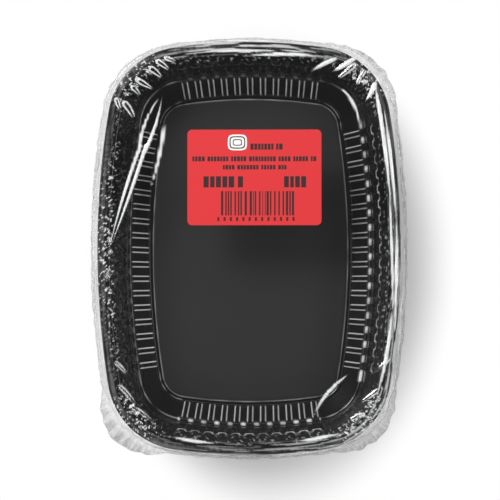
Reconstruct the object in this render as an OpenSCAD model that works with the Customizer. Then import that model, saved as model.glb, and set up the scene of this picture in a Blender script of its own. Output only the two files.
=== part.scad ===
/* [Pack] */
// Number of trays nested in the pack
tray_count = 10; // [1:1:12]

/* [Tray] */
// Width of the tray across its rim
tray_w = 130; // [120:1:145]
// Length of the tray along its rim
tray_l = 177; // [165:1:195]
// Height of one tray from its foot to the top of its rim
tray_h = 30; // [28:1:36]
// Thickness of the formed plastic sheet
sheet_t = 0.4; // [0.3:0.05:0.5]
// Radius of the bowed long sides, at the rim
side_r = 370; // [340:5:420]
// Radius of the bowed short ends, at the rim
end_r = 220; // [200:5:260]
// Radius of the corners, at the rim
corner_r = 33; // [31:1:36]
// Width of the flat rim
rim_w = 5; // [4:0.5:7]
// Depth of the lip that turns down from the rim, which is also how far nested trays stand apart
lip_h = 3; // [2.5:0.25:4]
// Width, in plan, of the steep upper wall
upper_run = 6.6; // [6:0.2:8]
// Width of the narrow ledge between the two walls
ledge_w = 1.4; // [1:0.2:2.4]
// Height of the ledge above the foot
ledge_h = 11.5; // [10:0.5:13]
// Width, in plan, of the fluted lower wall
lower_run = 7.8; // [7:0.2:9]
// Width of the foot ring that the tray stands on
foot_w = 1.6; // [1.2:0.2:2.4]
// Height of the floor panel above the foot ring
panel_lift = 0.8; // [0.5:0.1:1.2]

/* [Flutes] */
// Width of a flute at its root in the lower wall
flute_w = 1.9; // [1.6:0.1:2.4]
// How far a flute stands proud of the wall
flute_h = 0.7; // [0.4:0.1:0.9]
// Spacing of the flutes along the foot of the long sides
side_flute_pitch = 6.2; // [5:0.1:8]
// Spacing of the flutes along the foot of the short ends
end_flute_pitch = 5.5; // [5:0.1:8]

/* [Film] */
// Thickness of the wrapping film as modelled
film_t = 0.3; // [0.2:0.05:0.5]
// How far the film stands off the rim at the middle of the long sides
film_side_gap = 2.8; // [2:0.2:4]
// How far the film stands off the rim at the middle of the short ends
film_end_gap = 1.8; // [1.6:0.2:3]
// Radius of the film's corners at its widest
film_corner_r = 34; // [31:1:36]
// How far the film draws in from its widest to the flat underneath
film_draw_in = 20; // [17:1:21]

/* [Label] */
// Width of the paper label
label_w = 57.4; // [40:0.2:70]
// Length of the paper label
label_l = 41; // [30:1:50]
// Radius of the label's corners
label_r = 2; // [1:0.5:4]
// Thickness of the label with its glue
label_t = 0.15; // [0.1:0.05:0.3]
// Sideways place of the label from the middle of the pack
label_x = 2.4; // [-10:0.2:10]
// Lengthwise place of the label from the middle of the pack
label_y = 30.2; // [-40:0.2:40]

/* [Hidden] */
$fn = 240;
// How far each arc of a wall laps the next, and how much further out the corner arcs sit
arc_lap = 0.05;
corner_step = 0.02;
// Width of the flat band by which a ring and the plate inside it share a level
plate_band = 3;
// How far the ends of a flute keep from the bends above and below it
flute_end = 1.1;
// How far the outermost flutes keep from where a wall turns into a corner
flute_clear = 1.5;
// How far each side of a bend in the sheet is eased off
bend_ease = 0.35;
// Width, in plan, of the small step from the foot ring up to the floor panel
panel_step = 0.6;

function tray_name(i) = str("tray_", i < 10 ? "0" : "", i);

stack_h = tray_h + (tray_count - 1) * lip_h;
film_top = film_t + stack_h;

// An outline is four bowed sides and four corners that run smoothly into each other:
// [half width, half length, radius of the long sides, of the short ends, of the corners]
tray_outline = [tray_w / 2, tray_l / 2, side_r, end_r, corner_r];
film_outline = [tray_w / 2 + film_side_gap, tray_l / 2 + film_end_gap, side_r, end_r, film_corner_r];

function side_centre(o) = [o[0] - o[2], 0];
function end_centre(o) = [0, o[1] - o[3]];

// The corner's centre lies a corner radius inside both the long side and the short end
function corner_centre(o) =
    let (from = side_centre(o), to = end_centre(o), r1 = o[2] - o[4], r2 = o[3] - o[4],
         gap = norm(to - from), along = (r1 * r1 - r2 * r2 + gap * gap) / (2 * gap),
         across = sqrt(r1 * r1 - along * along), dir = (to - from) / gap)
    from + along * dir + across * [-dir[1], dir[0]];

// Directions, seen from the arcs' own centres, where a long side and a short end meet the corner
function side_turn(o) = let (v = corner_centre(o) - side_centre(o)) atan2(v[1], v[0]);
function end_turn(o) = let (v = corner_centre(o) - end_centre(o)) atan2(v[1], v[0]);

// The outline's eight arcs: [centre, radius, first angle, sweep, is a corner]
function arcs(o) =
    let (s = side_turn(o), e = end_turn(o), c = corner_centre(o), sc = side_centre(o), ec = end_centre(o))
    [
        [sc, o[2], -s, 2 * s, false],
        [c, o[4], s, e - s, true],
        [ec, o[3], e, 180 - 2 * e, false],
        [[-c[0], c[1]], o[4], 180 - e, e - s, true],
        [-sc, o[2], 180 - s, 2 * s, false],
        [-c, o[4], 180 + s, e - s, true],
        [-ec, o[3], 180 + e, 180 - 2 * e, false],
        [[c[0], -c[1]], o[4], 360 - e, e - s, true]
    ];

// Points of the outline moved inwards, with a few on each arc
function outline_points(o, inset, per_arc = 6) =
    [for (a = arcs(o)) for (k = [0:per_arc - 1])
        let (t = a[2] + a[3] * k / per_arc) a[0] + (a[1] - inset) * [cos(t), sin(t)]];

// A section's points moved sideways by t, so that a bent sheet keeps its thickness
function unit(v) = v / norm(v);
function left_of(v) = [-v[1], v[0]];
function beside(pts, t) =
    [for (i = [0:len(pts) - 1])
        let (before = i == 0 ? pts[1] - pts[0] : pts[i] - pts[i - 1],
             after = i == len(pts) - 1 ? before : pts[i + 1] - pts[i],
             n1 = left_of(unit(before)), n2 = left_of(unit(after)))
        pts[i] + t * (n1 + n2) / (1 + n1 * n2)];
function reversed(pts) = [for (i = [len(pts) - 1:-1:0]) pts[i]];

// Each inner bend becomes a short flat that starts and ends the cut length from it
function eased(pts, cut) =
    [for (i = [0:len(pts) - 1])
        each (i == 0 || i == len(pts) - 1) ? [pts[i]] :
            [pts[i] - cut * unit(pts[i] - pts[i - 1]), pts[i] + cut * unit(pts[i + 1] - pts[i])]];

function sheet(pts, t) = concat(pts, reversed(beside(pts, t)));

// Carries a section round an outline. A section's first number is how far in from the outline it lies
module carry_round(o, section) {
    for (a = arcs(o)) {
        lap = arc_lap / a[1] * 180 / PI;
        out = a[4] ? corner_step : 0;
        translate([a[0][0], a[0][1], 0])
            rotate_extrude(start = a[2] - lap, angle = a[3] + 2 * lap)
                polygon([for (p = section) [a[1] - p[0] + out, p[1]]]);
    }
}

// The flat plate inside a ring, from the ring's level z up by t
module plate(o, inset, z, t) {
    translate([0, 0, z])
        linear_extrude(t)
            polygon(outline_points(o, inset + plate_band / 2));
}

// The tray's section, along the underside of the sheet from the lip to the floor panel
upper_foot = rim_w + upper_run;
lower_top = upper_foot + ledge_w;
lower_foot = lower_top + lower_run;
panel_edge = lower_foot + foot_w;
tray_section = concat(
    [[sheet_t, tray_h - lip_h], [sheet_t, tray_h - sheet_t]],
    eased([[rim_w / 2, tray_h - sheet_t], [rim_w, tray_h - sheet_t], [upper_foot, ledge_h - sheet_t],
           [lower_top, ledge_h - sheet_t], [lower_foot, 0], [panel_edge, 0],
           [panel_edge + panel_step, panel_lift],
           [panel_edge + panel_step + plate_band, panel_lift]], bend_ease));

module tray_shell() {
    carry_round(tray_outline, sheet(tray_section, sheet_t));
    plate(tray_outline, panel_edge + panel_step, panel_lift, sheet_t);
}

// The lower wall's slope, seen in its section
lower_drop = ledge_h - sheet_t;
lower_slope = atan2(lower_drop, lower_run);
lower_length = norm([lower_run, lower_drop]);

// A bar along the lower wall's slope, from the level low up to the level high, narrower at its crest
module bar(low, high, root, crest) {
    rotate([0, 90 - lower_slope, 0])
        translate([0, 0, flute_end])
            linear_extrude(lower_length - 2 * flute_end)
                polygon([[-low, -root / 2], [-high, -crest / 2], [-high, crest / 2], [-low, root / 2]]);
}

// One bar for every flute of the four bowed walls, fanned out like the wall itself: one in the middle of
// a wall, and as many to each side of it as fit before the corner
module flutes(low, high, root, crest) {
    for (a = arcs(tray_outline))
        if (!a[4]) {
            foot_r = a[1] - lower_foot;
            step = (a[1] == side_r ? side_flute_pitch : end_flute_pitch) / foot_r * 180 / PI;
            each_way = floor((a[3] / 2 - flute_clear / foot_r * 180 / PI) / step);
            translate([a[0][0], a[0][1], 0])
                for (k = [-each_way:each_way])
                    rotate([0, 0, a[2] + a[3] / 2 + k * step])
                        translate([foot_r, 0, 0])
                            bar(low, high, root, crest);
        }
}

// The sheet bulges inwards at each flute and leaves a groove of the same form behind it
flute_crest = flute_w / 2;
module tray() {
    difference() {
        union() {
            tray_shell();
            flutes(sheet_t / 2, sheet_t + flute_h, flute_w, flute_crest);
        }
        flutes(-sheet_t, flute_h, flute_w - 2 * sheet_t, flute_crest - sheet_t * 0.8);
    }
}

// The film's section, along its outside: flat over the top rim, down the stack, in under the lowest tray.
// The crown is the sloping edge round its flat top, and the waist is how far it draws in down the stack
film_crown = 1.2;
film_crown_drop = 1.6;
film_waist = 0.6;
film_section = [
    [film_crown + plate_band, film_top + film_t], [film_crown, film_top + film_t],
    [0, film_top + film_t - film_crown_drop],
    [film_waist, film_t + tray_h - lip_h], [film_draw_in, 0], [film_draw_in + plate_band, 0]];

// A flattened gather of spare film stands out from one corner like a dog's ear. Its root laps into the film
ear_reach = 6;
ear_root = 26;
ear_tip = 9;
ear_drop = 6;
ear_seat = film_corner_r - sqrt(film_corner_r * film_corner_r - ear_root * ear_root / 4) + film_t;
module film_ear() {
    c = corner_centre(film_outline);
    translate([-c[0], -c[1], film_top - ear_drop])
        rotate([0, 0, 225])
            translate([film_corner_r, 0, 0])
                linear_extrude(film_t)
                    polygon([[-ear_seat, -ear_root / 2], [ear_reach, -ear_tip / 2],
                             [ear_reach, ear_tip / 2], [-ear_seat, ear_root / 2]]);
}

module film_wrap() {
    carry_round(film_outline, sheet(film_section, film_t));
    plate(film_outline, film_crown, film_top, film_t);
    plate(film_outline, film_draw_in, 0, film_t);
    film_ear();
}

module label() {
    translate([label_x, label_y, film_top + film_t])
        linear_extrude(label_t) {
            square([label_w, label_l - 2 * label_r], center = true);
            square([label_w - 2 * label_r, label_l], center = true);
            for (x = [-1, 1], y = [-1, 1])
                translate([x * (label_w / 2 - label_r), y * (label_l / 2 - label_r)])
                    circle(label_r);
        }
}

for (i = [1:tray_count])
    color([0.09, 0.09, 0.1])
            translate([0, 0, film_t + (i - 1) * lip_h])
                tray();
color([0.93, 0.95, 0.96, 0.35]) film_wrap();
color([0.9, 0.24, 0.25]) label();
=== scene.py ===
"""A sealed pack of nested black food trays in clear stretched film, with a red paper label on top.

Every form is worked out in millimetres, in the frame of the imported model, and turned to metres
when its mesh is made. The trays and the film share one kind of outline: four bowed sides and four
corners that run smoothly into each other. A surface is a grid of rings, one inside or below
another, by places round that outline.
"""
import math

import bpy
import numpy as np
from mathutils import Matrix, Vector


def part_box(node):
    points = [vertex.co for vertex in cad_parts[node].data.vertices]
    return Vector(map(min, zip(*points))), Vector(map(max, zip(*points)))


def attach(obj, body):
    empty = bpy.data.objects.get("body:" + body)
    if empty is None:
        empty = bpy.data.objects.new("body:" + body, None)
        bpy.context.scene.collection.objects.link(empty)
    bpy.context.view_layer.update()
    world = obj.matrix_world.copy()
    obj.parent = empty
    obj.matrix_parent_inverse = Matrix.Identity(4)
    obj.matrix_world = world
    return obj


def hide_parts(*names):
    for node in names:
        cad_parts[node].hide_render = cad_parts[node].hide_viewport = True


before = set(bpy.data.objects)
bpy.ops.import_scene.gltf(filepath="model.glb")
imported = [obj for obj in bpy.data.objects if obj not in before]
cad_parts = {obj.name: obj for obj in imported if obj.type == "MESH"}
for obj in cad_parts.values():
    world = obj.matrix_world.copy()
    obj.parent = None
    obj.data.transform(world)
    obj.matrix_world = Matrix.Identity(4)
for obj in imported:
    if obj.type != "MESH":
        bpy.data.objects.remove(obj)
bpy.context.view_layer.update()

MM = 0.001
BODY = "root"
TRAYS = sorted(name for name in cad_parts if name.startswith("tray_"))


def node_box(name):
    """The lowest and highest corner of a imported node, in millimetres."""
    low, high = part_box(name)
    return np.array(low) / MM, np.array(high) / MM


# Sizes of the formed tray, as in the part's source
SHEET = 0.4
TRAY_H = 30.0
LIP_H = 3.0
RIM_W = 5.0
UPPER_RUN = 6.6
LEDGE_W = 1.4
LEDGE_H = 11.5
LOWER_RUN = 7.8
FOOT_W = 1.6
PANEL_STEP = 0.6
PANEL_LIFT = 0.8
PLATE_BAND = 3.0
SIDE_R, END_R, CORNER_R = 370.0, 220.0, 33.0
SIDE_FLUTE_PITCH, END_FLUTE_PITCH = 6.2, 5.5
FLUTE_CLEAR = 1.5
FLUTE_W, FLUTE_H = 1.9, 0.7
FLUTE_END = 1.1

# How far in from the rim's edge the sheet has its bends
UPPER_FOOT = RIM_W + UPPER_RUN
LOWER_TOP = UPPER_FOOT + LEDGE_W
LOWER_FOOT = LOWER_TOP + LOWER_RUN
PANEL_EDGE = LOWER_FOOT + FOOT_W
PANEL_INSET = PANEL_EDGE + PANEL_STEP

rim_low, rim_high = node_box(TRAYS[-1])
film_low, film_high = node_box("film_wrap")
label_low, label_high = node_box("label")


# Outlines

def outline(half_w, half_l, side_r, end_r, corner_r):
    """The eight arcs of a bowed, round-cornered outline, anticlockwise.

    The first starts at the right side's near end. Each row is centre x, centre y, radius, first
    angle, sweep. A corner's centre lies a corner radius inside both the long side's arc and the
    short end's, where two circles cross.
    """
    side, end = np.array([half_w - side_r, 0.0]), np.array([0.0, half_l - end_r])
    r1, r2 = side_r - corner_r, end_r - corner_r
    gap = np.linalg.norm(end - side)
    along = (r1 * r1 - r2 * r2 + gap * gap) / (2 * gap)
    step = (end - side) / gap
    off_line = math.sqrt(r1 * r1 - along * along)
    corner = side + along * step + off_line * np.array([-step[1], step[0]])
    s = math.atan2(corner[1], corner[0] - side[0])
    e = math.atan2(corner[1] - end[1], corner[0])
    cx, cy = corner
    pi = math.pi
    return np.array([
        [side[0], 0, side_r, -s, 2 * s],
        [cx, cy, corner_r, s, e - s],
        [0, end[1], end_r, e, pi - 2 * e],
        [-cx, cy, corner_r, pi - e, e - s],
        [-side[0], 0, side_r, pi - s, 2 * s],
        [-cx, -cy, corner_r, pi + s, e - s],
        [0, -end[1], end_r, pi + e, pi - 2 * e],
        [cx, -cy, corner_r, 2 * pi - e, e - s],
    ])


def stations(arcs, shares):
    """Places round an outline: each arc is walked by its own list of shares from 0 to 1.

    Gives, for each place, the arc's centre, radius, direction and the arc it belongs to.
    """
    rows = [np.column_stack([np.tile(arc[:3], (len(f), 1)), arc[3] + arc[4] * f,
                             np.full(len(f), i)])
            for i, (arc, f) in enumerate(zip(arcs, shares))]
    cx, cy, radius, turn, arc_no = np.concatenate(rows).T
    return {"cx": cx, "cy": cy, "r": radius, "turn": turn, "arc": arc_no.astype(int)}


def at_inset(st, inset):
    """Plan points of every station, moved in from the outline.

    A point is its arc's centre plus the radius less the inset along the station's direction.
    inset has a row for each ring and may vary along the ring.
    """
    reach = st["r"] - inset
    return st["cx"] + reach * np.cos(st["turn"]), st["cy"] + reach * np.sin(st["turn"])


# Meshes

def lofted(name, rings, material, node):
    """A closed surface through rings, with a pole in the middle of the first and of the last.

    rings is an array of rings by places by x, y, z, in millimetres. Ring and place numbers are the
    two parameters. Where the first ring is the innermost one on top, the faces point outwards.
    """
    count, around = rings.shape[:2]
    poles = np.array([rings[0].mean(0), rings[-1].mean(0)])
    verts = np.concatenate([rings.reshape(-1, 3), poles]) * MM
    ring, place = np.meshgrid(np.arange(count - 1), np.arange(around), indexing="ij")
    here, beside_it = ring * around + place, ring * around + (place + 1) % around
    quads = np.stack([here, here + around, beside_it + around, beside_it], -1).reshape(-1, 4)
    p = np.arange(around)
    first, last = count * around, count * around + 1
    tail = (count - 1) * around
    start = np.stack([np.full(around, first), p, (p + 1) % around], -1)
    stop = np.stack([np.full(around, last), tail + (p + 1) % around, tail + p], -1)
    mesh = bpy.data.meshes.new(name)
    mesh.from_pydata(verts.tolist(), [], quads.tolist() + start.tolist() + stop.tolist())
    mesh.polygons.foreach_set("use_smooth", np.ones(len(mesh.polygons), bool))
    return placed(name, mesh, material, node)


def placed(name, mesh, material, node=None):
    """Puts a finished mesh on the pack's body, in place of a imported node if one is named."""
    mesh.materials.append(material)
    mesh.update()
    piece = bpy.data.objects.new(name, mesh)
    bpy.context.scene.collection.objects.link(piece)
    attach(piece, BODY)
    if node:
        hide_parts(node)
    return piece


def keep_fields(piece, fields):
    """Keeps numbers worked out for every point of a lofted piece, for its material to read."""
    for name, field in fields.items():
        flat = np.ravel(field)
        values = np.concatenate([flat, [flat[0], flat[-1]]]).astype(np.float32)
        piece.data.attributes.new(name, "FLOAT", "POINT").data.foreach_set("value", values)


def ramp(x):
    """Smooth step: 0 below 0, 1 above 1, and three x squared less two x cubed between."""
    x = np.clip(x, 0, 1)
    return x * x * (3 - 2 * x)


def window(value, low, high, soft):
    """1 between two limits, falling smoothly to 0 within the soft length outside them."""
    return ramp((value - low) / soft + 1) * ramp((high - value) / soft + 1)


def hump(value, middle, reach):
    """1 at the middle, falling smoothly to 0 at the reach to each side of it."""
    return ramp(1 - np.abs(value - middle) / reach)


# Materials

def linear(hex_colour):
    """An sRGB hex colour as linear red, green, blue and a full alpha."""
    parts = [int(hex_colour[i:i + 2], 16) / 255 for i in (1, 3, 5)]
    return tuple(c / 12.92 if c <= 0.04045 else ((c + 0.055) / 1.055) ** 2.4
                 for c in parts) + (1.0,)


def add(tree, kind, links=None, **settings):
    """Adds a node, sets its properties and socket values, and links its inputs."""
    node = tree.nodes.new(kind)
    for key, value in settings.items():
        setattr(node, key, value)
    for socket, value in (links or {}).items():
        target = node.inputs[socket]
        if isinstance(value, bpy.types.NodeSocket):
            tree.links.new(value, target)
        else:
            target.default_value = value
    return node


def new_material(name):
    """An empty node material with its output."""
    material = bpy.data.materials.new(name)
    material.use_nodes = True
    tree = material.node_tree
    tree.nodes.clear()
    return material, tree, tree.nodes.new("ShaderNodeOutputMaterial")


def formed_black_polystyrene():
    """Thermoformed black polystyrene: glossy, with a stretched sheet's faint orange peel, and white
    highlights painted along its bends.
    """
    material, tree, out = new_material("formed_black_polystyrene")
    where = add(tree, "ShaderNodeTexCoord").outputs["Object"]
    # Cooling marks 1.5 mm across, and a slow stretch of the sheet over 20 mm
    peel = add(tree, "ShaderNodeTexNoise", {
        "Vector": where, "Scale": 1 / (1.5 * MM), "Detail": 2.0})
    stretch = add(tree, "ShaderNodeTexNoise", {
        "Vector": where, "Scale": 1 / (20 * MM), "Detail": 1.0})
    # The walls are drawn thin and glossy, and the floor panel keeps the sheet's satin face
    panel = add(tree, "ShaderNodeAttribute", attribute_name="panel")
    gloss = add(tree, "ShaderNodeMapRange", {
        "Value": stretch.outputs["Fac"], "From Min": 0.3, "From Max": 0.7, "To Min": 0.07,
        "To Max": 0.12})
    rough = add(tree, "ShaderNodeMix", {
        "Factor": panel.outputs["Fac"], "A": gloss.outputs["Result"], "B": 0.42})
    black = add(tree, "ShaderNodeMix", {
        "Factor": panel.outputs["Fac"], "A": linear("#0B0B0C"),
        "B": linear("#1D1D1F")}, data_type="RGBA")
    # Painted highlights: white is painted where glints of light fall, along the flutes, the ledge,
    # the lip and round the floor panel
    bend = add(tree, "ShaderNodeAttribute", attribute_name="bend")
    colour = add(tree, "ShaderNodeMix", {
        "Factor": bend.outputs["Fac"], "A": black.outputs["Result"],
        "B": linear("#F2F2F3")}, data_type="RGBA")
    bump = add(tree, "ShaderNodeBump", {
        "Height": peel.outputs["Fac"], "Strength": 0.25, "Distance": 0.02 * MM})
    shade = add(tree, "ShaderNodeBsdfPrincipled", {
        "Base Color": colour.outputs["Result"], "Roughness": rough.outputs["Result"], "IOR": 1.55,
        "Normal": bump.outputs["Normal"]})
    tree.links.new(shade.outputs["BSDF"], out.inputs["Surface"])
    return material


def stretched_clear_film():
    """Cast clear PVC film, stretched tight: mirror-like where light glances off, a trace hazy, with
    white highlights painted on its creases and folds.
    """
    material, tree, out = new_material("stretched_clear_film")
    where = add(tree, "ShaderNodeTexCoord").outputs["Object"]
    # Fine stretch crinkles 1.6 mm apart, where the film is crumpled
    fine = add(tree, "ShaderNodeTexNoise", {
        "Vector": where, "Scale": 1 / (1.6 * MM), "Detail": 3.0, "Distortion": 0.6})
    crumpled = add(tree, "ShaderNodeAttribute", attribute_name="crinkle")
    height = add(tree, "ShaderNodeMath", {
        0: fine.outputs["Fac"], 1: crumpled.outputs["Fac"]}, operation="MULTIPLY")
    bump = add(tree, "ShaderNodeBump", {
        "Height": height.outputs[0], "Strength": 1.0, "Distance": 0.12 * MM})
    # A film mirrors at both faces of each layer: 6.5% of the light that meets it squarely, and
    # more as it glances off. The fifth power of the facing weight stands for that, and is the
    # same from within the bag
    facing = add(tree, "ShaderNodeLayerWeight", {"Blend": 0.5, "Normal": bump.outputs["Normal"]})
    steep = add(tree, "ShaderNodeMath", {0: facing.outputs["Facing"], 1: 5.0}, operation="POWER")
    mirror = add(tree, "ShaderNodeMapRange", {
        "Value": steep.outputs[0], "To Min": 0.065, "To Max": 0.8})
    # Slack film is smoky rather than white
    # Painted shade: the haze on the film's sides and underside is given a grey tone, and on its top a
    # near white
    painted_side_shade = add(tree, "ShaderNodeAttribute", attribute_name="painted_side_shade")
    tone = add(tree, "ShaderNodeMix", {
        "Factor": painted_side_shade.outputs["Fac"], "A": linear("#ECEDEE"),
        "B": linear("#B2B3B5")}, data_type="RGBA")
    haze = add(tree, "ShaderNodeBsdfDiffuse", {"Color": tone.outputs["Result"]})
    clear = add(tree, "ShaderNodeBsdfTransparent", {"Color": (1, 1, 1, 1)})
    # A share kept on the mesh mixes in white: haze on the sides and a trace on the top, and painted
    # highlights where the top is creased, crumpled or gathered
    haze_and_glints = add(tree, "ShaderNodeAttribute", attribute_name="haze_and_glints")
    body = add(tree, "ShaderNodeMixShader", {
        0: haze_and_glints.outputs["Fac"], 1: clear.outputs[0], 2: haze.outputs[0]})
    shine = add(tree, "ShaderNodeBsdfAnisotropic", {
        "Color": (1, 1, 1, 1), "Roughness": 0.06, "Normal": bump.outputs["Normal"]})
    film = add(tree, "ShaderNodeMixShader", {
        0: mirror.outputs[0], 1: body.outputs[0], 2: shine.outputs[0]})
    tree.links.new(film.outputs[0], out.inputs["Surface"])
    return material


def coated_label_paper():
    """Red-printed coated paper: even ink with a soft sheen and a faint grain of paper fibre."""
    material, tree, out = new_material("coated_label_paper")
    where = add(tree, "ShaderNodeTexCoord").outputs["Object"]
    # Fibres about half a millimetre long
    fibre = add(tree, "ShaderNodeTexNoise", {
        "Vector": where, "Scale": 1 / (0.5 * MM), "Detail": 4.0})
    colour = add(tree, "ShaderNodeMix", {
        "Factor": fibre.outputs["Fac"], "A": linear("#D1272B"),
        "B": linear("#D62C31")}, data_type="RGBA")
    bump = add(tree, "ShaderNodeBump", {
        "Height": fibre.outputs["Fac"], "Strength": 0.1, "Distance": 0.02 * MM})
    shade = add(tree, "ShaderNodeBsdfPrincipled", {
        "Base Color": colour.outputs["Result"], "Roughness": 0.5, "Normal": bump.outputs["Normal"]})
    tree.links.new(shade.outputs["BSDF"], out.inputs["Surface"])
    return material


def printing_ink(name, hex_colour):
    """Flat printing ink, a little matt, with slight unevenness where it soaks into the paper."""
    material, tree, out = new_material(name)
    where = add(tree, "ShaderNodeTexCoord").outputs["Object"]
    # As fine as the paper's fibres
    soak = add(tree, "ShaderNodeTexNoise", {
        "Vector": where, "Scale": 1 / (0.4 * MM), "Detail": 2.0})
    rough = add(tree, "ShaderNodeMapRange", {
        "Value": soak.outputs["Fac"], "To Min": 0.45, "To Max": 0.65})
    shade = add(tree, "ShaderNodeBsdfPrincipled", {
        "Base Color": linear(hex_colour), "Roughness": rough.outputs["Result"]})
    tree.links.new(shade.outputs["BSDF"], out.inputs["Surface"])
    return material


# The trays

# The section's walk: its step, the width over which a bend is rounded, and how rows share out
# between plain runs, turns and the scallops' heads
WALK_STEP, BEND_W = 0.02, 0.9
PLAIN_EFFORT, HEAD_EFFORT = 0.35, 1.1
# Rows of the section, places round a corner, rings of the floor panel and places across a flute,
# from its middle, on the uppermost tray and on the others
FINE = {"rows": 68, "corner": 26, "floor": 5, "across": np.array(
    [-2.75, -1.9, -1.42, -1.24, -0.88, -0.7, 0, 0.7, 0.88, 1.24, 1.42, 1.9])}
PLAIN = {"rows": 30, "corner": 14, "floor": 3, "across": np.array([-2.6, -1.1, 0, 1.1])}
# How high a scallop stands, and where its head is: a share of the way down the upper wall
SCALLOP_H, SCALLOP_HEAD = 0.45, 0.42
# The painted highlight along each flank of a flute, a white line: its distance from the flute's
# middle, and its width
FLANK_HIGHLIGHT, FLANK_HIGHLIGHT_W = 1.06, 0.18
FLOOR_CROWN = 0.25


def beside(points, offset):
    """A bent line moved sideways to its left: each bend moves along the mean of its two normals."""
    runs = np.diff(points, axis=0)
    runs /= np.linalg.norm(runs, axis=1)[:, None]
    normals = np.column_stack([-runs[:, 1], runs[:, 0]])
    before, after = np.vstack([normals[:1], normals]), np.vstack([normals, normals[-1:]])
    return points + offset * (before + after) / (1 + (before * after).sum(1))[:, None]


def tray_section(rows):
    """The middle line of the tray's sheet, from the lip's edge to the floor panel, bends rounded.

    The bent line is walked in small steps and each step is the mean of its neighbours within the
    bend's width. The rows kept crowd where the line turns and over the scallops' heads. Gives, for
    each row, the inset, the height, the normal's two parts and the shares of the upper and of the
    lower wall that lie above it, and the lower wall's length.
    """
    under = np.array([
        [SHEET, TRAY_H - LIP_H], [SHEET, TRAY_H - SHEET], [RIM_W, TRAY_H - SHEET],
        [UPPER_FOOT, LEDGE_H - SHEET], [LOWER_TOP, LEDGE_H - SHEET], [LOWER_FOOT, 0],
        [PANEL_EDGE, 0], [PANEL_INSET, PANEL_LIFT], [PANEL_INSET + PLATE_BAND, PANEL_LIFT]])
    middle = beside(under, SHEET / 2)
    runs = np.linalg.norm(np.diff(middle, axis=0), axis=1)
    lengths = np.concatenate([[0], np.cumsum(runs)])
    walk = np.arange(0, lengths[-1] + WALK_STEP, WALK_STEP)
    line = np.column_stack([np.interp(walk, lengths, middle[:, k]) for k in (0, 1)])
    width = int(BEND_W / WALK_STEP) // 2 * 2 + 1
    # The ends are carried on straight before the mean is taken, so that they stay where they are
    lead = line[0] - (line[1] - line[0]) * np.arange(width, 0, -1)[:, None]
    tail = line[-1] + (line[-1] - line[-2]) * np.arange(1, width + 1)[:, None]
    long = np.vstack([lead, line, tail])
    even = np.ones(width) / width
    line = np.column_stack([np.convolve(long[:, k], even, "same")[width:-width] for k in (0, 1)])
    slope = np.gradient(line, WALK_STEP, axis=0)
    slope /= np.linalg.norm(slope, axis=1)[:, None]
    heading = np.unwrap(np.arctan2(slope[:, 1], slope[:, 0]))
    turning = np.abs(np.gradient(heading, WALK_STEP))

    def down_wall(at, wall):
        return (at - lengths[wall]) / (lengths[wall + 1] - lengths[wall])

    upper, lower = 2, 4
    heads = window(down_wall(walk, upper), 0.4, 0.6, 0.04)
    effort = np.cumsum(PLAIN_EFFORT + turning + HEAD_EFFORT * heads)
    keep = np.interp(np.linspace(effort[0], effort[-1], rows), effort, walk)

    def pick(values):
        return np.interp(keep, walk, values)

    return {"inset": pick(line[:, 0]), "z": pick(line[:, 1]),
            "n_in": -pick(slope[:, 1]), "n_up": pick(slope[:, 0]),
            "high_wall": down_wall(keep, upper), "low_wall": down_wall(keep, lower),
            "low_length": lengths[lower + 1] - lengths[lower]}


def flute_row(number, arc):
    """The flutes of one bowed wall: their pitch, half the length of the wall's foot, and how many
    stand each way from the middle one."""
    pitch = SIDE_FLUTE_PITCH if number % 4 == 0 else END_FLUTE_PITCH
    half = arc[4] / 2 * (arc[2] - LOWER_FOOT)
    return pitch, half, int((half - FLUTE_CLEAR) // pitch)


def flute_stations(arcs, detail):
    """Shares of each arc to stand at: close together across every flute, and wider between them."""
    shares = []
    for i, arc in enumerate(arcs):
        if i % 2:
            shares.append(np.arange(detail["corner"]) / detail["corner"])
            continue
        pitch, half, each_way = flute_row(i, arc)
        flutes = np.arange(-each_way, each_way + 1)[:, None] * pitch
        # One more place stands between the last flute and the end of the wall
        spare = half - (half - each_way * pitch) / 2
        spots = np.concatenate([(flutes + detail["across"]).ravel(), [spare]])
        spots = np.concatenate([[0.0], (spots + half) / (2 * half)])
        shares.append(np.unique(spots.clip(0, 0.999)))
    return shares


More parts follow.
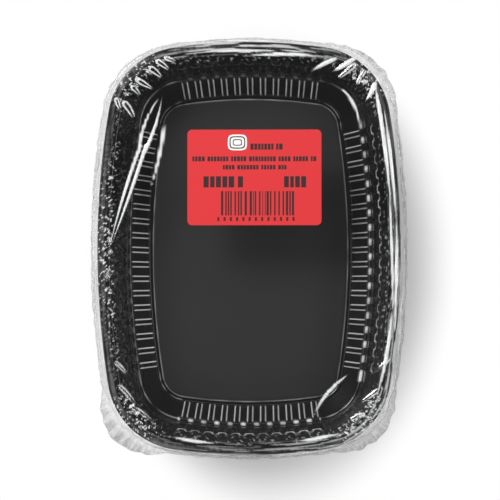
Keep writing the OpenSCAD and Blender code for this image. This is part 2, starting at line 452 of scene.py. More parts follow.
def flute_fields(arcs, st, section):
    """How far the sheet stands proud of its plain section, and where white highlights are painted on
    it.

    Proud: on the lower wall a rib of FLUTE_H at each pitch, with rounded flanks, that fades out at
    both ends of the wall, and on the upper wall, below SCALLOP_HEAD, a scallop of SCALLOP_H in
    each gap between two ribs. Painted highlights, in white: a line down each flank of a rib and a
    band across its foot, a bead on the ledge in each gap, half an ellipse round each rib's line on
    the upper wall, broken lines along the lip's bend and round the floor panel, and two round the
    corners. A line is a smooth hump across the distance from its place.
    """
    low_wall, high_wall = section["low_wall"], section["high_wall"][:, None]
    section_inset = section["inset"][:, None]
    ribs, scallops, flanks, within, gaps = np.zeros((5, len(st["r"])))
    from_rib = np.full(len(st["r"]), 9.0)
    for i in (0, 2, 4, 6):
        on, arc = st["arc"] == i, arcs[i]
        pitch, _, each_way = flute_row(i, arc)
        x = (st["turn"][on] - arc[3] - arc[4] / 2) * (arc[2] - LOWER_FOOT)
        off = np.abs(x - pitch * np.clip(np.round(x / pitch), -each_way, each_way))
        row_end = ramp(((each_way + 0.5) * pitch - np.abs(x)) / 1.5)
        ribs[on] = ramp((FLUTE_W / 2 + 0.15 - off) / 0.6)
        scallops[on] = row_end * ramp((off - 0.5) / 1.6)
        flanks[on] = np.clip(2.0 - np.abs(off - FLANK_HIGHLIGHT) / FLANK_HIGHLIGHT_W, 0, 1)
        within[on] = ramp((1.15 - off) / 0.2)
        gaps[on] = ramp((off - 1.7) / 0.4)
        from_rib[on] = off
    ends = FLUTE_END / section["low_length"]
    low = ramp((low_wall - ends / 2) / ends) * ramp((1 - ends / 2 - low_wall) / ends)
    high = ramp((high_wall - SCALLOP_HEAD) / 0.16) * ramp((0.98 - high_wall) / 0.12)
    proud = FLUTE_H * low[:, None] * ribs + SCALLOP_H * high * scallops

    # Painted light by side: the beads and arches are painted brighter to the right and at the near
    # end, and the flank lines dimmer there, where the ribs blend. The painted lines waver in strength
    # by slow and quick waves along the outline
    painted_side_light = 0.35 + 0.65 * ramp(0.5 + 1.2 * np.cos(st["turn"] + 0.7))
    run = st["r"] * st["turn"]
    highlight_waver = 0.5 + 0.5 * np.sin(run * 0.31 + 2 * np.sin(run * 0.11))
    beaded = 0.5 + 0.5 * np.sin(run * 2 * math.pi / 2.2 + 3 * np.sin(run * 0.23))
    uneven = 0.9 + 0.35 * np.sin(run * 0.83 + 3 * np.sin(run * 0.37))
    foot = hump(low_wall, 1 - 0.75 * ends, 0.45 * ends)[:, None]
    ledge = ramp(1.4 - np.abs(low_wall + 0.02) / 0.05)[:, None]
    panel_line = hump(section_inset, PANEL_INSET - 0.35, 0.3)
    lip_line = hump(section_inset, 1.5, 0.4) * (section["z"] > TRAY_H - 2)[:, None]
    arch = np.hypot(from_rib / 1.7, (high_wall - SCALLOP_HEAD) / 0.13)
    bends = np.maximum(flanks * low[:, None], 0.5 * within * foot) * (1.1 - 0.55 * painted_side_light)
    painted_highlight_marks = [uneven * painted_side_light ** 2 * gaps * ledge,
             0.9 * painted_side_light ** 2 * (0.3 + 0.7 * highlight_waver) * hump(arch, 1, 0.24)
             * (high_wall > SCALLOP_HEAD),
             (0.5 + 0.42 * highlight_waver) * panel_line,
             (0.15 + 0.6 * beaded * highlight_waver) * lip_line]
    # Round the corners painted highlights draw the ledge's inner edge and the wall's foot as fine
    # lines
    on_corner = 0.4 * (st["arc"] % 2) * highlight_waver
    for line in (LOWER_TOP, LOWER_FOOT + 0.2):
        painted_highlight_marks.append(on_corner * hump(section_inset, line, 0.3))
    for mark in painted_highlight_marks:
        bends = np.maximum(bends, mark)
    return proud, bends.clip(0, 1)


def tray_surface(base, detail):
    """Rings of one formed tray, both faces of its sheet.

    A ring is the outline moved in by the section's inset, at the section's height, moved along the
    section's normal by the flutes and by half the sheet's thickness, up for the top face and down
    for the under face. The floor panel shrinks to the middle with a crown of FLOOR_CROWN.
    """
    half_w, half_l = (rim_high[0] - rim_low[0]) / 2, (rim_high[1] - rim_low[1]) / 2
    arcs = outline(half_w, half_l, SIDE_R, END_R, CORNER_R)
    st = stations(arcs, flute_stations(arcs, detail))
    section = tray_section(detail["rows"])
    proud, bends = flute_fields(arcs, st, section)
    faces = []
    for way in (1, -1):
        out = proud + way * SHEET / 2
        x, y = at_inset(st, section["inset"][:, None] + out * section["n_in"][:, None])
        z = base + section["z"][:, None] + out * section["n_up"][:, None]
        wall = np.stack([x, y, z], -1)
        shrink = np.linspace(0.2, 0.96, detail["floor"])[:, None, None]
        floor = wall[-1:] * shrink
        floor[..., 2] = wall[-1:, :, 2] + FLOOR_CROWN * (1 - shrink[..., 0] ** 2)
        faces.append(np.concatenate([floor, wall[::-1]]))
    # The under face keeps every other ring, from the lip back to the middle
    under = np.arange(len(faces[1]) - 1, -1, -2)
    rings = np.concatenate([faces[0], faces[1][under]])
    around = len(st["r"])
    panel = np.concatenate([np.ones(len(floor)), section["inset"][::-1] > PANEL_INSET])
    bent = np.concatenate([np.zeros((len(floor), around)), bends[::-1]])
    return rings, {"panel": np.repeat(np.concatenate([panel, panel[under]]), around),
                   "bend": np.concatenate([bent, 0 * bent[under]])}


def nested_trays(plastic):
    """Every tray of the stack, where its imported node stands. Only the uppermost is seen closely."""
    for name in TRAYS:
        base = node_box(name)[0][2]
        rings, fields = tray_surface(base, FINE if name == TRAYS[-1] else PLAIN)
        tray = lofted(name.replace("tray", "formed_tray"), rings, plastic, name)
        keep_fields(tray, fields)


# The film

FILM_CORNER_R = 34.0
FILM_DRAW_IN = 20.0
# The arcs of its outline in order, and how far apart the film's places stand on each
FILM_ARCS = ("right", "far_right", "far", "far_left", "left", "near_left", "near", "near_right")
FILM_SPACING = (0.72, 0.45, 0.6, 0.42, 0.5, 0.45, 0.6, 0.45)
CORNERS = ("far_right", "far_left", "near_left", "near_right")
# The round over the rim's edge, in plan and down; how far it is waisted, and over what drop
CROWN, CROWN_DROP = 1.2, 3.4
WAIST, STACK_DROP = 0.6, 30.0
# Where the rings of the top end and smaller copies of the last one begin
FLAT_INSET = 30.0
# How far the film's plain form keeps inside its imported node, above and below
FILM_SUNK = 0.02
# The line that the long fold down the left follows, from its near end to its far end
LONG_FOLD = np.array([[-59.0, 2.0], [-37.6, 64.4]])
# Spare film that flares out: corner, reach, spread along the rim, drop and how tall it is. It is
# flat like a dog's ear at the near left corner
FLARES = (("near_left", 6.4, 21, 7.0, 3.0), ("near_right", 4.2, 20, 9.0, 6.0),
          ("far_right", 2.6, 24, 6.0, 5.0), ("far_left", 0.5, 20, 8.0, 6.0))

# Folds in the film's top: start x and y, end x and y, width, height, bow, flank, share of the run
# that rises and share that falls
FOLDS = (
    # The long narrow fold down the left: two bright edges, each in two runs. Then the streak
    # beside it along the floor's edge
    (-37.0, 66.4, -47.3, 40.4, 1.75, 0.4, -2.2, 0.98, 0.9, 0.02),
    (-46.1, 44.8, -60.6, -4.0, 1.8, 0.42, -0.95, 0.98, 0.02, 0.9),
    (-37.0, 66.4, -45.0, 40.4, 1.8, 0.4, 1.1, 0.98, 0.8, 0.02),
    (-43.8, 44.8, -60.2, -2.0, 2.0, 0.42, 0.4, 0.98, 0.02, 0.9),
    (-36.0, 57.0, -42.6, 24.2, 1.9, 0.26, 1.1, 0.98, 0.35, 0.6),
    # Loops at the far left corner
    (-36.3, 81.8, -29.7, 79.0, 2.2, 0.5, 0.2, 0.8, 0.15, 0.8),
    (-39.9, 80.5, -33.4, 75.7, 2.6, 0.6, 0.3, 0.7, 0.15, 0.8),
    (-42.9, 77.6, -36.6, 72.2, 2.8, 0.62, 0.4, 0.62, 0.15, 0.85),
    (-48.6, 73.0, -40.2, 67.9, 2.6, 0.6, -0.3, 0.7, 0.15, 0.8),
    (-50.3, 69.6, -46.0, 64.6, 2.4, 0.5, 0.2, 0.8, 0.15, 0.8),
    (-54.0, 63.0, -48.4, 53.6, 3.0, 0.62, 0.6, 0.6, 0.15, 0.85),
    (-57.3, 64.7, -54.7, 57.0, 2.2, 0.5, 0.2, 0.8, 0.15, 0.8),
    # Broad bright spikes at the far right corner, and a soft curve that hangs from them
    (38.5, 81.6, 26.2, 75.4, 2.2, 0.55, -0.4, 0.98, 0.3, 0.6),
    (46.2, 81.9, 35.4, 75.4, 2.6, 0.6, 0.3, 0.98, 0.3, 0.6),
    (46.4, 79.4, 37.4, 71.8, 2.6, 0.6, 0.0, 0.75, 0.25, 0.7),
    (54.6, 71.5, 49.7, 62.3, 2.6, 0.62, 0.3, 0.98, 0.25, 0.7),
    (50.5, 77.0, 45.5, 68.0, 2.0, 0.5, -0.4, 0.9, 0.25, 0.7),
    (37.4, 70.2, 47.4, 51.6, 1.8, 0.28, 2.6, 0.98, 0.5, 0.5),
    # Long streaks down the right
    (53.8, 71.0, 61.3, 11.5, 2.0, 0.5, 0.9, 0.98, 0.2, 0.6),
    (57.6, 62.0, 63.2, 8.0, 1.7, 0.4, 0.7, 0.98, 0.4, 0.5),
    (59.8, 30.0, 61.6, -34.0, 1.6, 0.36, 0.5, 0.98, 0.5, 0.5),
    (63.2, 20.0, 62.2, -42.0, 1.7, 0.4, 0.4, 0.98, 0.5, 0.5),
    (61.5, -22.0, 54.0, -66.0, 1.8, 0.4, 1.3, 0.98, 0.5, 0.5),
    # Along the far flange and round the near corners
    (-24.0, 83.8, 14.0, 84.4, 1.6, 0.36, 0.6, 0.98, 0.5, 0.5),
    (-4.0, 82.2, 34.0, 81.8, 1.6, 0.36, 0.9, 0.98, 0.5, 0.5),
    (-56.5, -58.0, -46.4, -71.0, 2.2, 0.5, 0.9, 0.85, 0.2, 0.7),
    (-52.0, -67.0, -38.0, -77.4, 2.2, 0.5, 0.9, 0.85, 0.2, 0.7),
    (-58.0, -48.0, -50.5, -56.0, 2.0, 0.46, 0.3, 0.85, 0.2, 0.7),
    (-34.0, -80.5, -14.0, -83.6, 1.8, 0.4, -0.4, 0.98, 0.5, 0.5),
    (44.4, -53.2, 27.4, -73.0, 1.8, 0.34, -2.4, 0.98, 0.5, 0.5),
    (56.0, -60.0, 46.0, -67.0, 2.4, 0.5, 0.3, 0.85, 0.2, 0.7),
    (50.0, -70.5, 40.0, -75.5, 2.4, 0.5, -0.3, 0.85, 0.2, 0.7),
    (40.0, -79.0, 20.0, -82.6, 1.8, 0.4, 0.4, 0.98, 0.5, 0.5),
    (61.0, -46.0, 53.0, -54.0, 2.0, 0.5, 0.2, 0.85, 0.2, 0.7),
)


def ripples(rng, count, across, along, inset, place, around):
    """Random ripples of about unit height: a sum of cosines of the inset and the place.

    Their wavelengths, in millimetres, are drawn between two limits across the rim and two along
    it. Whole waves fit round the rim, so it closes.
    """
    total = np.zeros(np.broadcast(inset, place).shape)
    for _ in range(count):
        lean = rng.choice([-1, 1])
        waves = lean * max(1, round(around / math.exp(rng.uniform(*np.log(along)))))
        rate = 2 * math.pi / math.exp(rng.uniform(*np.log(across)))
        total += np.cos(rate * inset + 2 * math.pi * waves * place / around
                        + rng.uniform(0, 2 * math.pi))
    return total * math.sqrt(2 / count)


def near(place, middle, reach, around):
    """1 at a place on the rim, falling smoothly to 0 at the reach to each side, the short way."""
    off = np.abs((place - middle + around / 2) % around - around / 2)
    return ramp(1 - off / reach)


def fold(x, y, start, stop, width, bow, flank, taper):
    """One fold's share of its height at every point: 0 beside the fold and 1 along its crest.

    Across, the share falls smoothly from 1 to 0 over the flank, which is a share of the half
    width and ends at its edge. Along, the half width and the height rise as a sine over the first
    of two shares of the fold's run and fall over the second. The bow moves its middle sideways
    along a parabola.
    """
    start, stop = np.array(start), np.array(stop)
    length = np.linalg.norm(stop - start)
    ahead = (stop - start) / length
    u = ((x - start[0]) * ahead[0] + (y - start[1]) * ahead[1]) / length
    off = (y - start[1]) * ahead[0] - (x - start[0]) * ahead[1] - bow * 4 * u * (1 - u)
    share = np.clip(np.minimum(u / taper[0], (1 - u) / taper[1]), 0, 1)
    share = np.sin(share * math.pi / 2)
    half = width / 2 * np.maximum(share, 0.08)
    return share * ramp((half - np.abs(off)) / (flank * half))


def steepness(rings):
    """The tangent of the film's tilt at every point, from its neighbours on the grid."""
    outward = np.gradient(rings, axis=0)
    along = np.roll(rings, -1, 1) - np.roll(rings, 1, 1)
    normal = np.cross(outward, along)
    return np.hypot(normal[..., 0], normal[..., 1]) / np.maximum(np.abs(normal[..., 2]), 1e-9)


def film_places():
    """The film's outline, walked arc by arc at the spacing of each.

    Gives the stations, how far round the outline each stands, the outline's length, and how far
    round it each named arc has its middle.
    """
    half_w, half_l = (film_high[0] - film_low[0]) / 2, (film_high[1] - film_low[1]) / 2
    arcs = outline(half_w, half_l, SIDE_R, END_R, FILM_CORNER_R)
    lengths = arcs[:, 2] * arcs[:, 4]
    counts = [max(8, round(length / gap)) for length, gap in zip(lengths, FILM_SPACING)]
    st = stations(arcs, [np.arange(n) / n for n in counts])
    starts = np.concatenate([[0], np.cumsum(lengths)])
    place = np.concatenate([start + length * np.arange(n) / n
                            for start, length, n in zip(starts, lengths, counts)])[None, :]
    middles = {name: start + length / 2
               for name, start, length in zip(FILM_ARCS, starts, lengths)}
    # The near end of the right side, where the outline starts
    middles["low_right"] = 0.0
    return st, place, starts[-1], middles


def top_grid(st, place):
    """Plan points and insets of the film's top, ring by ring from the innermost.

    The rings stand at even insets, and inside the last of them they are smaller and smaller
    copies of it. They crowd together along the long fold: each place's own ray crosses the fold's
    line at one inset, and the insets near that one are drawn to it, by a share that falls off as
    a bell curve.
    """
    steps = np.concatenate([np.arange(CROWN, 14.0, 0.42), np.linspace(14.0, FLAT_INSET, 26)])
    inset = steps[::-1, None] + 0 * place
    foot, tip = LONG_FOLD
    run = (tip - foot) / np.linalg.norm(tip - foot)
    ray = np.cos(st["turn"]) * run[1] - np.sin(st["turn"]) * run[0]
    ray = np.where(np.abs(ray) < 1e-6, 1e-6, ray)
    reach = ((foot[0] - st["cx"]) * run[1] - (foot[1] - st["cy"]) * run[0]) / ray
    cross_x = st["cx"] + reach * np.cos(st["turn"])
    cross_y = st["cy"] + reach * np.sin(st["turn"])
    along = (cross_x - foot[0]) * run[0] + (cross_y - foot[1]) * run[1]
    crossing = st["r"] - reach
    at_left = (st["arc"] == FILM_ARCS.index("far_left")) | (st["arc"] == FILM_ARCS.index("left"))
    crowd = 0.62 * window(along, 0, 66, 8) * window(crossing, 6, 25, 3) * at_left
    off = inset - crossing
    inset = inset - crowd * off * np.exp(-(off / 5.5) ** 2)
    x, y = at_inset(st, inset)
    shrink = np.concatenate([np.linspace(0.2, 0.84, 3), np.linspace(0.84, 1, 5)[1:-1]])[:, None]
    return {"x": np.concatenate([x[:1] * shrink, x]),
            "y": np.concatenate([y[:1] * shrink, y]),
            "inset": np.concatenate([FLAT_INSET + (1 - shrink) * 40 + 0 * place, inset])}


def film_rise(top, by, waves):
    """How far the film's top is pushed up or down at every point.

    Streaks along the rim, speckle where the film comes off the rim's inner edge and a slow swell
    further in are sums of ripples, each within its own window of insets. The folds stand on them.
    Also gives how strong the streaks are, how crumpled the film is and where a highlight is painted
    along a fold's crest.
    """
    inset = top["inset"]
    # Streaks are strongest at the right and at the far end
    strength = 0.08 + 0.5 * by("low_right", 95) + 0.72 * by("far", 60) + 0.2 * by("near", 60)
    streaks = waves(26, (1.3, 3.4), (24, 160), inset)
    rise = 0.16 * strength * window(inset, 2.0, 5.6, 1.6) * streaks
    crumple = (by("far_left", 26) + by("far_right", 24) + by("near_left", 26)
               + by("near_right", 24) + 0.7 * by("left", 75) + 0.25 * by("low_right", 90))
    speckle = waves(40, (1.5, 3.4), (1.6, 4.0), inset)
    patches = 0.5 + 0.5 * np.tanh(waves(12, (5, 12), (5, 14), inset))
    rise = rise + (0.15 * np.minimum(crumple, 1.1) * window(inset, 6.6, 9.6, 1.6)
                   * speckle * patches)
    gathers, fold_glint = np.zeros(inset.shape), np.zeros(inset.shape)
    for x0, y0, x1, y1, width, height, bow, flank, rises, falls in FOLDS:
        share = fold(top["x"], top["y"], (x0, y0), (x1, y1), width, bow, flank, (rises, falls))
        gathers = np.maximum(gathers, height * share)
        # Along the crest of a fold that is nearly all flank a white highlight is painted
        fold_glint = np.maximum(fold_glint, ramp(share * 1.8) * (flank > 0.9))
    swell = waves(8, (30, 80), (60, 200), inset)
    rise = rise + gathers + 0.05 * window(inset, 9, 60, 6) * swell
    return {"rise": rise, "strength": strength, "crumple": crumple, "fold_glint": fold_glint}


def film_sides(st, place, by, waves):
    """Plan points, heights, drops and flare of the film's sides, ring by ring downwards.

    A quarter round over the rim's edge, then down the stack, slightly waisted, and in under the
    lowest tray. Pleats, tightest at the corners, a faint print of every rim of the stack and the
    flares move it in and out. A flare is a bell curve of the drop times a hump along the rim.
    """
    drop = np.concatenate([np.linspace(0.35, 3.0, 5), np.linspace(4.2, STACK_DROP, 12),
                           np.linspace(34, film_high[2] - 0.6, 7)])
    share = np.clip((drop - STACK_DROP) / (film_high[2] - STACK_DROP), 0, 1)
    rounded = 1 - np.sqrt(np.clip(1 - (1 - drop / CROWN_DROP) ** 2, 0, 1))
    inset = (np.where(drop < CROWN_DROP, CROWN * rounded, 0.0) + WAIST * ramp(drop / STACK_DROP)
             + (FILM_DRAW_IN - WAIST) * (0.86 * share + 0.14 * share ** 3))
    drop, inset, share = drop[:, None], inset[:, None], share[:, None]
    corners = sum(by(name, 30) for name in CORNERS)
    pleats = waves(24, (60, 300), (5, 22), drop)
    rims = np.cos(2 * math.pi * (drop - 0.3) / LIP_H) * window(drop, 3, 27, 3)
    out = (0.2 * (0.5 + corners) * ramp(drop / 4) * pleats * (1 - 0.7 * share)
           + 0.16 * rims * (1 - corners))
    out = out + 0.22 * waves(12, (6, 16), (14, 60), drop) * ramp(drop / 5)
    flared = np.zeros(out.shape)
    for name, reach, spread, level, tall in FLARES:
        flare = np.sqrt(by(name, spread)) * np.exp(-((drop - level) / tall) ** 2)
        out, flared = out + reach * flare, flared + min(reach / 3, 1) * flare
    x, y = at_inset(st, inset - out)
    return {"x": x, "y": y, "z": film_high[2] - drop + 0 * place, "drop": drop, "flared": flared}


def film_haze_and_glints(rings, top, sides, waves):
    """How hazy the film's top and sides are at every point, highlights painted in, from 0 for clear
    to 1 for white.

    The top has a trace of haze, and white highlights painted where it is steep or along a fold's
    crest, in drifts along the rims and along fine creases that follow the zero lines of ripples,
    in patches. The sides have a band of fine pleats below the rim, and haze on the flares.
    """
    inset, crumple = top["inset"], np.minimum(top["crumple"], 1)
    # Painted highlights where the film's top is steep
    steep_glint = ramp((steepness(rings)[:len(inset)] - 0.34) / 0.3) * window(inset, 1.7, 60, 0.5)
    # Painted highlights in drifts along the rims, strongest at the right and at the far end
    drifts = ramp((waves(44, (0.9, 3.0), (12, 90), inset) - 0.1) / 0.7)
    rim_streak_glint = top["strength"] * window(inset, 1.4, 6.0, 1.4) * drifts
    # Painted highlights: fine white specks where the film is crumpled and where it comes off the
    # rim's inner edge
    specks = ramp(1 - np.abs(waves(40, (2.2, 6.0), (2.4, 7.0), inset)) / 0.42)
    specks = specks * ramp(0.4 + waves(20, (2.5, 8.0), (2.5, 9.0), inset))
    specks = specks * (window(inset, 6.4, 9.0, 1.2) * (0.3 + 0.5 * crumple)
                       + 1.3 * window(inset, 3.0, 8.0, 1.6) * ramp(2 * top["crumple"] - 0.5)
                       + 0.12 * window(inset, 8.0, 13.0, 2.0) * (0.2 + 0.8 * crumple))
    on_top = np.maximum(0.003 + 0.8 * rim_streak_glint + 0.8 * steep_glint, 0.92 * top["fold_glint"]) + specks
    pleats = np.tanh(1.5 * waves(30, (12, 60), (1.6, 8.0), sides["drop"]))
    band = np.exp(-((sides["drop"] - 4) / 6) ** 2) * (0.75 + 0.45 * pleats)
    on_sides = 0.03 + 0.24 * band + 0.6 * sides["flared"] * (0.75 + 0.35 * pleats)
    return np.clip(on_top, 0, 0.95), np.clip(on_sides, 0, 0.9)


def film_rings():
    """Rings of the stretched film, from the middle of its top to the middle underneath.

    The plain form is a section carried round the outline. The top is flat over the rims, and moved
    up and down by folds and ripples that fade out at its edge and under the label, which lies on
    it. The sides follow, and smaller copies of their last ring lie flat underneath. Also gives how
    crinkled it is, its haze and painted highlights, and its painted shade at each point.
    """
    rng = np.random.default_rng(11)
    st, place, around, middles = film_places()

    def by(name, reach):
        return near(place, middles[name], reach, around)

    def waves(count, across, along, distance):
        return ripples(rng, count, across, along, distance, place, around)

    top = top_grid(st, place)
    top.update(film_rise(top, by, waves))
    level = film_high[2] - FILM_SUNK
    z = level + top["rise"] * ramp((top["inset"] - 0.9) / 1.5)
    under_label = (window(top["x"], label_low[0] - 1, label_high[0] + 1, 3)
                   * window(top["y"], label_low[1] - 1, label_high[1] + 1, 3))
    z = z + (level - z) * under_label
    sides = film_sides(st, place, by, waves)
    shrink = np.array([0.97, 0.85, 0.6, 0.3])[:, None]
    base_x, base_y = sides["x"][-1:] * shrink, sides["y"][-1:] * shrink
    base_z = 0 * base_x + film_low[2] + FILM_SUNK
    rings = np.concatenate([np.stack([top["x"], top["y"], z], -1),
                            np.stack([sides["x"], sides["y"], sides["z"]], -1),
                            np.stack([base_x, base_y, base_z], -1)])

    haze_and_glints_top, haze_and_glints_sides = film_haze_and_glints(rings, top, sides, waves)
    crumpled = window(top["inset"], -5, 8, 3) * (0.1 + 0.6 * np.minimum(top["crumple"], 1))
    parts = {"crinkle": (crumpled, 1.0, 0.5), "haze_and_glints": (haze_and_glints_top, haze_and_glints_sides, 0.05),
             "painted_side_shade": (0.0, 1.0, 1.0)}
    shapes = top["x"].shape, sides["x"].shape, base_x.shape
    return rings, {name: np.concatenate([np.broadcast_to(part, shape)
                                         for part, shape in zip(values, shapes)])
                   for name, values in parts.items()}


def film_wrap(clear):
    """The film as one closed bag round the stack."""
    rings, fields = film_rings()
    bag = lofted("stretched_film", rings, clear, "film_wrap")
    keep_fields(bag, fields)


# The label's print

# How deep the ink is rooted in the paper, and how far each layer stands above the last
INK_ROOT, INK_LAYER = 0.03, 0.01
# Lines of blocks, measured from the label's near left corner: left, right, bottom, top, width of
# a block, gap after it and space after a group
BLOCK_LINES = (
    (27.0, 42.0, 32.4, 35.0, 1.35, 0.32, 0.8),
    (2.1, 55.6, 27.4, 29.5, 1.15, 0.3, 0.9),
    (15.2, 42.8, 23.9, 25.8, 1.1, 0.3, 0.9),
    (6.9, 24.3, 16.2, 21.0, 2.2, 0.6, 1.0),
    (41.4, 51.4, 16.2, 21.0, 2.0, 0.6, 1.0),
)
# The panes of the pictogram, one on another: end of the piece's name, half width, half length
PANES = (("", 4.1, 3.4), ("_rim", 3.4, 2.7), ("_wall", 2.9, 2.2), ("_floor", 2.0, 1.4),
         ("_inside", 1.6, 1.0))


def bars(rows):
    """Corners of upright rectangles, anticlockwise: a row is low x, high x, low y, high y."""
    x0, x1, y0, y1 = np.array(rows, float).T
    return np.stack([np.stack([x0, y0], -1), np.stack([x1, y0], -1),
                     np.stack([x1, y1], -1), np.stack([x0, y1], -1)], 1)


def rounded_panes(rows, power=4.0, corners=28):
    """Corners of rounded rectangles: a row is middle x, middle y, half width, half length.

    The cosine and sine of an even turn are raised to two over the power, with their signs kept.
    """
    x, y, w, h = (column[:, None] for column in np.array(rows, float).T)
    turn = np.arange(corners) / corners * 2 * math.pi
    c, s = (np.sign(v) * np.abs(v) ** (2 / power) for v in (np.cos(turn), np.sin(turn)))
    return np.stack([x + w * c, y + h * s], -1)


def printed(name, outlines, layer, ink):
    """Thin closed plates of ink on the label.

    Each outline, shapes by corners by x and y, stands from just inside the paper to the height of
    its layer above it.
    """
    shapes, corners = outlines.shape[:2]
    heights = label_high[2] - INK_ROOT, label_high[2] + INK_LAYER * layer
    flat = outlines.reshape(-1, 2)
    verts = np.concatenate([np.column_stack([flat, np.full(len(flat), z)]) for z in heights]) * MM
    here = np.arange(shapes)[:, None] * corners + np.arange(corners)
    after = np.roll(here, -1, 1)
    up = shapes * corners
    walls = np.stack([here, after, after + up, here + up], -1).reshape(-1, 4)
    faces = here[:, ::-1].tolist() + (here + up).tolist() + walls.tolist()
    mesh = bpy.data.meshes.new(name)
    mesh.from_pydata(verts.tolist(), [], faces)
    placed(name, mesh, ink)


def line_of_blocks(rng, left, right, bottom, top, block, gap, space):
    """A row of small upright blocks in groups of three to nine, as plain filler."""
    rows, x, run = [], left, int(rng.integers(3, 10))
    while x + block < right:
        width = block * rng.uniform(0.7, 1.1)
        rows.append((x, min(x + width, right), bottom, top))
        x += width + gap
        run -= 1
        if run <= 0:
            x, run = x + space, int(rng.integers(3, 10))
    return rows


def label_print():
    """Plain blocks and stripes in black, and a small white pictogram of a tray."""
    rng = np.random.default_rng(5)
    black = printing_ink("black_printing_ink", "#2B1113")
    white = printing_ink("white_printing_ink", "#EFEDEA")
    x0, y0 = label_low[0], label_low[1]
    rows = []
    for left, right, bottom, top, block, gap, space in BLOCK_LINES:
        rows += line_of_blocks(rng, x0 + left, x0 + right, y0 + bottom, y0 + top,
                               block, gap, space)
    # Upright stripes of one to three modules with gaps of one to three, scaled to their length,
    # and a row of small blocks under them
    module, stripes_length = 0.36, 31.4
    widths = module * rng.integers(1, 4, (2, 22))
    left = np.concatenate([[0], np.cumsum(widths.sum(0))[:-1]])
    scale = stripes_length / (left[-1] + widths[0, -1])
    for start, width in zip(left * scale + x0 + 14.4, widths[0] * scale * 0.9):
        rows.append((start, start + width, y0 + 4.2, y0 + 14.6))
    rows += [(x, x + 0.9, y0 + 1.8, y0 + 3.5) for x in np.linspace(x0 + 12.8, x0 + 45.0, 13)]
    printed("label_print_black", bars(rows), 1, black)
    x, y = x0 + 21.4, y0 + 35.5
    for layer, (part, half_w, half_l) in enumerate(PANES, 1):
        printed("label_pictogram" + part, rounded_panes([(x, y, half_w, half_l)]), layer,
                white if layer % 2 else black)


# Stage, lights and camera

# In metres, as the lights are
FLOOR_HALF = 6.0
CAMERA_DISTANCE = 1.5
CAMERA_TILT, CAMERA_SWING = math.radians(2.45), math.radians(34)
AIM = (0.0005, -0.0009, rim_high[2] * MM)
SENSOR, FRAME_PIXELS, PIXEL = 36, 500, 0.428
LAMP_AIM = (0, 0, 0.05)
KEY_SIZE, STRIP_SIZE = (0.55, 0.55), (1.2, 0.28)


def studio():
    """A studio with bright walls and a dim ceiling. The camera sees its background as white."""
    world = bpy.data.worlds.new("studio")
    bpy.context.scene.world = world
    world.use_nodes = True
    tree = world.node_tree
    tree.nodes.clear()
    out = tree.nodes.new("ShaderNodeOutputWorld")
    path = add(tree, "ShaderNodeLightPath")
    where = add(tree, "ShaderNodeTexCoord").outputs["Generated"]
    way = add(tree, "ShaderNodeSeparateXYZ", {0: where})
    height = add(tree, "ShaderNodeMapRange", {
        "Value": way.outputs["Z"], "From Min": 0.3, "From Max": 0.85, "To Min": 0.4,
        "To Max": 0.08})
    room = add(tree, "ShaderNodeBackground", {
        "Color": (1, 1, 1, 1), "Strength": height.outputs["Result"]})
    white = add(tree, "ShaderNodeBackground", {"Color": (1, 1, 1, 1), "Strength": 1.0})
    mix = add(tree, "ShaderNodeMixShader", {
        0: path.outputs["Is Camera Ray"], 1: room.outputs[0], 2: white.outputs[0]})
    tree.links.new(mix.outputs[0], out.inputs["Surface"])


def white_paper_sweep():
    """A plain white paper floor that burns out to white a few centimetres from the pack."""
    material, tree, out = new_material("white_paper_sweep")
    path = add(tree, "ShaderNodeLightPath")
    paper = add(tree, "ShaderNodeBsdfDiffuse", {"Color": linear("#F7F7F7")})
    glow = add(tree, "ShaderNodeEmission", {"Color": (1, 1, 1, 1), "Strength": 1.0})
    # Painted light: only the pack's near shadow shows, as the white glow grows with the distance from
    # a point right of and nearer than its middle, and covers the shadow sooner on the left and far
    # sides
    where = add(tree, "ShaderNodeTexCoord").outputs["Object"]
    off = add(tree, "ShaderNodeVectorMath", {
        0: where, 1: (8 * MM, -6 * MM, 0)}, operation="SUBTRACT")
    even = add(tree, "ShaderNodeVectorMath", {
        0: off.outputs[0], 1: (1.0, 0.72, 0)}, operation="MULTIPLY")
    far = add(tree, "ShaderNodeVectorMath", {0: even.outputs[0]}, operation="LENGTH")
    burn = add(tree, "ShaderNodeMapRange", {
        "Value": far.outputs["Value"], "From Min": 60 * MM, "From Max": 84 * MM, "To Min": 0.05,
        "To Max": 1.0}, interpolation_type="SMOOTHSTEP")
    share = add(tree, "ShaderNodeMath", {
        0: path.outputs["Is Camera Ray"], 1: burn.outputs["Result"]}, operation="MULTIPLY")
    mix = add(tree, "ShaderNodeMixShader", {
        0: share.outputs[0], 1: paper.outputs[0], 2: glow.outputs[0]})
    tree.links.new(mix.outputs[0], out.inputs["Surface"])
    mesh = bpy.data.meshes.new("floor")
    half = FLOOR_HALF
    mesh.from_pydata([(-half, -half, 0), (half, -half, 0), (half, half, 0), (-half, half, 0)],
                     [], [(0, 1, 2, 3)])
    mesh.materials.append(material)
    floor = bpy.data.objects.new("floor", mesh)
    bpy.context.scene.collection.objects.link(floor)


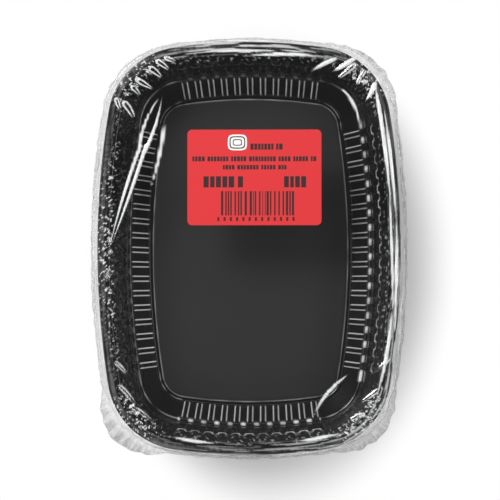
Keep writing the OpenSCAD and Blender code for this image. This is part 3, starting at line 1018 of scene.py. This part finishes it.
def softbox(name, place, size, power):
    """A rectangular area lamp at a place, turned to the pack. Its first size is the level one."""
    lamp = bpy.data.lights.new(name, "AREA")
    lamp.shape = "RECTANGLE"
    lamp.size, lamp.size_y = size
    lamp.energy = power
    box = bpy.data.objects.new(name, lamp)
    bpy.context.scene.collection.objects.link(box)
    box.location = place
    towards = Vector(LAMP_AIM) - Vector(place)
    box.rotation_euler = towards.to_track_quat("-Z", "Y").to_euler()


def lights():
    """A key from the upper left, and four long strips all round for the sheen along the folds."""
    softbox("key", (-0.72, 0.72, 1.12), KEY_SIZE, 13)
    softbox("right_strip", (1.0, 0.0, 1.0), STRIP_SIZE, 6.4)
    softbox("left_strip", (-1.0, 0.0, 1.0), STRIP_SIZE, 4.9)
    softbox("near_strip", (0.0, -1.0, 1.0), STRIP_SIZE, 3.2)
    softbox("far_strip", (0.0, 1.0, 1.0), STRIP_SIZE, 3.6)


def camera():
    """Looks straight down at the pack, tilted a couple of degrees towards the photograph's lower
    right. Its lens shows FRAME_PIXELS pixels of PIXEL millimetres at the rim."""
    lens = bpy.data.cameras.new("camera")
    view = bpy.data.objects.new("camera", lens)
    bpy.context.scene.collection.objects.link(view)
    back = Vector((math.sin(CAMERA_TILT) * math.sin(CAMERA_SWING),
                   -math.sin(CAMERA_TILT) * math.cos(CAMERA_SWING), math.cos(CAMERA_TILT)))
    view.location = Vector(AIM) + CAMERA_DISTANCE * back
    right = Vector((0, 1, 0)).cross(back).normalized()
    up = back.cross(right)
    view.rotation_euler = Matrix((right, up, back)).transposed().to_euler()
    lens.sensor_width = SENSOR
    lens.lens = SENSOR * CAMERA_DISTANCE / (FRAME_PIXELS * PIXEL * MM)
    lens.clip_start = 0.01
    bpy.context.scene.camera = view


camera()
nested_trays(formed_black_polystyrene())
film_wrap(stretched_clear_film())
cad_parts["label"].data.materials.clear()
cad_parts["label"].data.materials.append(coated_label_paper())
label_print()
studio()
white_paper_sweep()
lights()
bpy.context.scene.view_settings.view_transform = "Standard"
